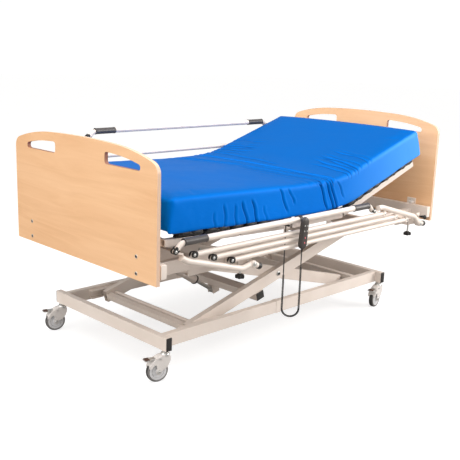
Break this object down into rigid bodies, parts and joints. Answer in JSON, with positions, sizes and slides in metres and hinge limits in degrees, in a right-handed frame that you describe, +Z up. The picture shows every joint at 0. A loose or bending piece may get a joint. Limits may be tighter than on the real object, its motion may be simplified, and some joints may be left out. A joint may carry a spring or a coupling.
{
  "type": "adjustable hospital bed",
  "caption": "Height-adjustable hospital bed with a scissor lift, four-section sleeping surface, blue mattress, wooden end boards, folding side rails, braked castors and handset.",
  "frame": {"origin": "on the floor, midway between the end boards and on the bed's centre line", "axes": "+X along the bed to the head end, +Y across it to the far side, +Z up"},
  "size_m": [2.086, 1.1725, 1.094],
  "materials": {
    "cream_steel": "powder coat, satin",
    "zinc_steel": "bright zinc",
    "beech_laminate": "satin laminate",
    "slat_wood": "bare plywood",
    "blue_cover": "coated stretch fabric with a soft sheen",
    "black_rubber": "matt",
    "grey_plastic": "fine grain",
    "castor_tyre": "grey rubber",
    "button_grey": "soft touch",
    "button_red": "soft touch"
  },
  "bodies": {
    "base": {"base_frame": "cream_steel", "base_end_caps": "black_rubber"},
    "inner_arms": {"lift_arms_inner": "cream_steel"},
    "outer_arms": {"lift_arms_outer": "cream_steel", "lift_pivot_bolts": "zinc_steel"},
    "lower_rollers": {"lower_rollers": "black_rubber"},
    "upper_rollers": {"upper_rollers": "black_rubber"},
    "upper_frame": {"upper_frame": "cream_steel", "footboard": "beech_laminate", "headboard": "beech_laminate", "board_fixings": "zinc_steel", "seat_slats": "slat_wood", "mattress_seat": "blue_cover", "section_drive": "grey_plastic", "rail_clamps": "cream_steel"},
    "backrest": {"back_frame": "cream_steel", "back_slats": "slat_wood", "mattress_back": "blue_cover"},
    "thigh_section": {"thigh_frame": "cream_steel", "thigh_slats": "slat_wood", "mattress_thigh": "blue_cover"},
    "calf_section": {"calf_frame": "cream_steel", "calf_slats": "slat_wood", "mattress_calf": "blue_cover"},
    "motor_rod": {"lift_motor_rod": "zinc_steel"},
    "motor_body": {"lift_motor": "cream_steel"},
    "near_foot_post": {"near_foot_post": "cream_steel"},
    "near_head_post": {"near_head_post": "cream_steel"},
    "near_handrail": {"near_handrail": "cream_steel", "handset": "grey_plastic", "handset_cable": "black_rubber"},
    "near_bar_2": {"near_rail_bar_2": "cream_steel"},
    "near_bar_3": {"near_rail_bar_3": "cream_steel"},
    "near_bar_4": {"near_rail_bar_4": "cream_steel"},
    "near_latch": {"near_latch": "black_rubber"},
    "far_foot_post": {"far_foot_post": "cream_steel"},
    "far_head_post": {"far_head_post": "cream_steel"},
    "far_handrail": {"far_handrail": "cream_steel"},
    "far_bar_2": {"far_rail_bar_2": "cream_steel"},
    "far_bar_3": {"far_rail_bar_3": "cream_steel"},
    "far_bar_4": {"far_rail_bar_4": "cream_steel"},
    "far_latch": {"far_latch": "black_rubber"},
    "fork_foot_near": {"castor_fork_foot_near": "cream_steel"},
    "wheel_foot_near": {"castor_wheel_foot_near": "castor_tyre"},
    "pedal_foot_near": {"castor_pedal_foot_near": "zinc_steel"},
    "fork_foot_far": {"castor_fork_foot_far": "cream_steel"},
    "wheel_foot_far": {"castor_wheel_foot_far": "castor_tyre"},
    "pedal_foot_far": {"castor_pedal_foot_far": "zinc_steel"},
    "fork_head_near": {"castor_fork_head_near": "cream_steel"},
    "wheel_head_near": {"castor_wheel_head_near": "castor_tyre"},
    "pedal_head_near": {"castor_pedal_head_near": "zinc_steel"},
    "fork_head_far": {"castor_fork_head_far": "cream_steel"},
    "wheel_head_far": {"castor_wheel_head_far": "castor_tyre"},
    "pedal_head_far": {"castor_pedal_head_far": "zinc_steel"},
    "button_back_up": {"handset_button_back_up": "button_grey"},
    "button_back_down": {"handset_button_back_down": "button_grey"},
    "button_legs_up": {"handset_button_legs_up": "button_grey"},
    "button_legs_down": {"handset_button_legs_down": "button_grey"},
    "button_bed_up": {"handset_button_bed_up": "button_red"},
    "button_bed_down": {"handset_button_bed_down": "button_red"}
  },
  "joints": [
    {"name": "backrest_tilt", "type": "hinge", "parent": "upper_frame", "child": "backrest", "pos_m": [0.23, 0, 0.615], "axis": [0, -1, 0], "range_deg": [-18.5, 51.5]},
    {"name": "bed_lift", "type": "hinge", "parent": "base", "child": "inner_arms", "pos_m": [0.49041, 0, 0.171], "axis": [0, 1, 0], "range_deg": [-9, 9]},
    {"name": "lift_cross", "type": "hinge", "parent": "inner_arms", "child": "outer_arms", "pos_m": [-0.065, 0, 0.31982], "axis": [0, 1, 0], "range_deg": [-18.5, 18.5]},
    {"name": "lift_level", "type": "hinge", "parent": "outer_arms", "child": "upper_frame", "pos_m": [0.49041, 0, 0.46864], "axis": [0, 1, 0], "range_deg": [-9.5, 9.5]},
    {"name": "bed_knee_lift", "type": "hinge", "parent": "upper_frame", "child": "thigh_section", "pos_m": [-0.144, 0, 0.615], "axis": [0, 1, 0], "range_deg": [-2.2, 28]},
    {"name": "knee_bend", "type": "hinge", "parent": "thigh_section", "child": "calf_section", "pos_m": [-0.49374, 0, 0.62844], "axis": [0, 1, 0], "range_deg": [-38.5, 3.2]},
    {"name": "motor_rod_swing", "type": "hinge", "parent": "outer_arms", "child": "motor_rod", "pos_m": [-0.21131, 0, 0.17813], "axis": [0, 1, 0], "range_deg": [-17.14, 17.14]},
    {"name": "motor_stroke", "type": "slide", "parent": "motor_rod", "child": "motor_body", "axis": [-0.8474, 0, 0.5309], "range_m": [-0.0989, 0.0989]},
    {"name": "roller_lower_spin", "type": "hinge", "parent": "outer_arms", "child": "lower_rollers", "pos_m": [-0.62041, 0, 0.171], "axis": [0, 1, 0], "continuous": true},
    {"name": "roller_upper_spin", "type": "hinge", "parent": "inner_arms", "child": "upper_rollers", "pos_m": [-0.62041, 0, 0.46864], "axis": [0, 1, 0], "continuous": true},
    {"name": "guard_left_fold", "type": "hinge", "parent": "upper_frame", "child": "near_foot_post", "pos_m": [-0.49, -0.545, 0.495], "axis": [0, 1, 0], "range_deg": [0, 57.8]},
    {"name": "near_head_post_swing", "type": "hinge", "parent": "upper_frame", "child": "near_head_post", "pos_m": [0.888, -0.545, 0.495], "axis": [0, 1, 0], "range_deg": [-0.5, 58.3]},
    {"name": "near_handrail_level", "type": "hinge", "parent": "near_foot_post", "child": "near_handrail", "pos_m": [-0.95209, -0.545, 0.62489], "axis": [0, 1, 0], "range_deg": [-58.3, 0.5]},
    {"name": "near_bar_2_level", "type": "hinge", "parent": "near_foot_post", "child": "near_bar_2", "pos_m": [-0.85005, -0.545, 0.5962], "axis": [0, 1, 0], "range_deg": [-58.3, 0.5]},
    {"name": "near_bar_3_level", "type": "hinge", "parent": "near_foot_post", "child": "near_bar_3", "pos_m": [-0.73934, -0.545, 0.56509], "axis": [0, 1, 0], "range_deg": [-58.3, 0.5]},
    {"name": "near_bar_4_level", "type": "hinge", "parent": "near_foot_post", "child": "near_bar_4", "pos_m": [-0.62767, -0.545, 0.5337], "axis": [0, 1, 0], "range_deg": [-58.3, 0.5]},
    {"name": "rail_latch_near", "type": "slide", "parent": "upper_frame", "child": "near_latch", "axis": [0, -1, 0], "range_m": [0, 0.008]},
    {"name": "guard_right_fold", "type": "hinge", "parent": "upper_frame", "child": "far_foot_post", "pos_m": [-0.49, 0.545, 0.495], "axis": [0, 1, 0], "range_deg": [-57.8, 0]},
    {"name": "far_head_post_swing", "type": "hinge", "parent": "upper_frame", "child": "far_head_post", "pos_m": [0.888, 0.545, 0.495], "axis": [0, 1, 0], "range_deg": [-58.3, 0.5]},
    {"name": "far_handrail_level", "type": "hinge", "parent": "far_foot_post", "child": "far_handrail", "pos_m": [-0.62633, 0.545, 0.95523], "axis": [0, 1, 0], "range_deg": [-0.5, 58.3]},
    {"name": "far_bar_2_level", "type": "hinge", "parent": "far_foot_post", "child": "far_bar_2", "pos_m": [-0.59622, 0.545, 0.8536], "axis": [0, 1, 0], "range_deg": [-0.5, 58.3]},
    {"name": "far_bar_3_level", "type": "hinge", "parent": "far_foot_post", "child": "far_bar_3", "pos_m": [-0.56356, 0.545, 0.74333], "axis": [0, 1, 0], "range_deg": [-0.5, 58.3]},
    {"name": "far_bar_4_level", "type": "hinge", "parent": "far_foot_post", "child": "far_bar_4", "pos_m": [-0.53061, 0.545, 0.63211], "axis": [0, 1, 0], "range_deg": [-0.5, 58.3]},
    {"name": "rail_latch_far", "type": "slide", "parent": "upper_frame", "child": "far_latch", "axis": [0, 1, 0], "range_m": [0, 0.008]},
    {"name": "swivel_foot_near", "type": "hinge", "parent": "base", "child": "fork_foot_near", "pos_m": [-0.88, -0.41, 0.128], "axis": [0, 0, 1], "continuous": true},
    {"name": "wheel_foot_near", "type": "hinge", "parent": "fork_foot_near", "child": "wheel_foot_near", "pos_m": [-0.9167, -0.40016, 0.05], "axis": [0.2588, 0.9659, 0], "continuous": true},
    {"name": "pedal_foot_near", "type": "hinge", "parent": "fork_foot_near", "child": "pedal_foot_near", "pos_m": [-0.90898, -0.40224, 0.11], "axis": [-0.2588, -0.9659, 0], "range_deg": [0, 12]},
    {"name": "swivel_foot_far", "type": "hinge", "parent": "base", "child": "fork_foot_far", "pos_m": [-0.88, 0.41, 0.128], "axis": [0, 0, 1], "continuous": true},
    {"name": "wheel_foot_far", "type": "hinge", "parent": "fork_foot_far", "child": "wheel_foot_far", "pos_m": [-0.9167, 0.41984, 0.05], "axis": [0.2588, 0.9659, 0], "continuous": true},
    {"name": "pedal_foot_far", "type": "hinge", "parent": "fork_foot_far", "child": "pedal_foot_far", "pos_m": [-0.90898, 0.41776, 0.11], "axis": [-0.2588, -0.9659, 0], "range_deg": [0, 12]},
    {"name": "swivel_head_near", "type": "hinge", "parent": "base", "child": "fork_head_near", "pos_m": [0.733, -0.41, 0.128], "axis": [0, 0, 1], "continuous": true},
    {"name": "wheel_head_near", "type": "hinge", "parent": "fork_head_near", "child": "wheel_head_near", "pos_m": [0.69558, -0.4166, 0.05], "axis": [-0.1736, 0.9848, 0], "continuous": true},
    {"name": "pedal_head_near", "type": "hinge", "parent": "fork_head_near", "child": "pedal_head_near", "pos_m": [0.70346, -0.41521, 0.11], "axis": [0.1736, -0.9848, 0], "range_deg": [0, 12]},
    {"name": "swivel_head_far", "type": "hinge", "parent": "base", "child": "fork_head_far", "pos_m": [0.733, 0.41, 0.128], "axis": [0, 0, 1], "continuous": true},
    {"name": "wheel_head_far", "type": "hinge", "parent": "fork_head_far", "child": "wheel_head_far", "pos_m": [0.695, 0.41, 0.05], "axis": [0, 1, 0], "continuous": true},
    {"name": "pedal_head_far", "type": "hinge", "parent": "fork_head_far", "child": "pedal_head_far", "pos_m": [0.703, 0.41, 0.11], "axis": [0, -1, 0], "range_deg": [0, 12]},
    {"name": "pendant_button_back_up", "type": "slide", "parent": "near_handrail", "child": "button_back_up", "axis": [0, 1, 0], "range_m": [0, 0.0012]},
    {"name": "pendant_button_back_down", "type": "slide", "parent": "near_handrail", "child": "button_back_down", "axis": [0, 1, 0], "range_m": [0, 0.0012]},
    {"name": "pendant_button_legs_up", "type": "slide", "parent": "near_handrail", "child": "button_legs_up", "axis": [0, 1, 0], "range_m": [0, 0.0012]},
    {"name": "pendant_button_legs_down", "type": "slide", "parent": "near_handrail", "child": "button_legs_down", "axis": [0, 1, 0], "range_m": [0, 0.0012]},
    {"name": "pendant_button_bed_up", "type": "slide", "parent": "near_handrail", "child": "button_bed_up", "axis": [0, 1, 0], "range_m": [0, 0.0012]},
    {"name": "pendant_button_bed_down", "type": "slide", "parent": "near_handrail", "child": "button_bed_down", "axis": [0, 1, 0], "range_m": [0, 0.0012]}
  ],
  "couplings": [
    {"joint": "lift_cross", "follows": "bed_lift", "ratio": -2},
    {"joint": "lift_level", "follows": "bed_lift", "ratio": 1},
    {"joint": "knee_bend", "follows": "bed_knee_lift", "ratio": -1.35},
    {"joint": "motor_rod_swing", "follows": "bed_lift", "ratio": 1.7938},
    {"joint": "motor_stroke", "follows": "bed_lift", "m_per_rad": 0.6104},
    {"joint": "near_head_post_swing", "follows": "guard_left_fold", "ratio": 1},
    {"joint": "near_handrail_level", "follows": "guard_left_fold", "ratio": -1},
    {"joint": "near_bar_2_level", "follows": "guard_left_fold", "ratio": -1},
    {"joint": "near_bar_3_level", "follows": "guard_left_fold", "ratio": -1},
    {"joint": "near_bar_4_level", "follows": "guard_left_fold", "ratio": -1},
    {"joint": "far_head_post_swing", "follows": "guard_right_fold", "ratio": 1},
    {"joint": "far_handrail_level", "follows": "guard_right_fold", "ratio": -1},
    {"joint": "far_bar_2_level", "follows": "guard_right_fold", "ratio": -1},
    {"joint": "far_bar_3_level", "follows": "guard_right_fold", "ratio": -1},
    {"joint": "far_bar_4_level", "follows": "guard_right_fold", "ratio": -1}
  ]
}
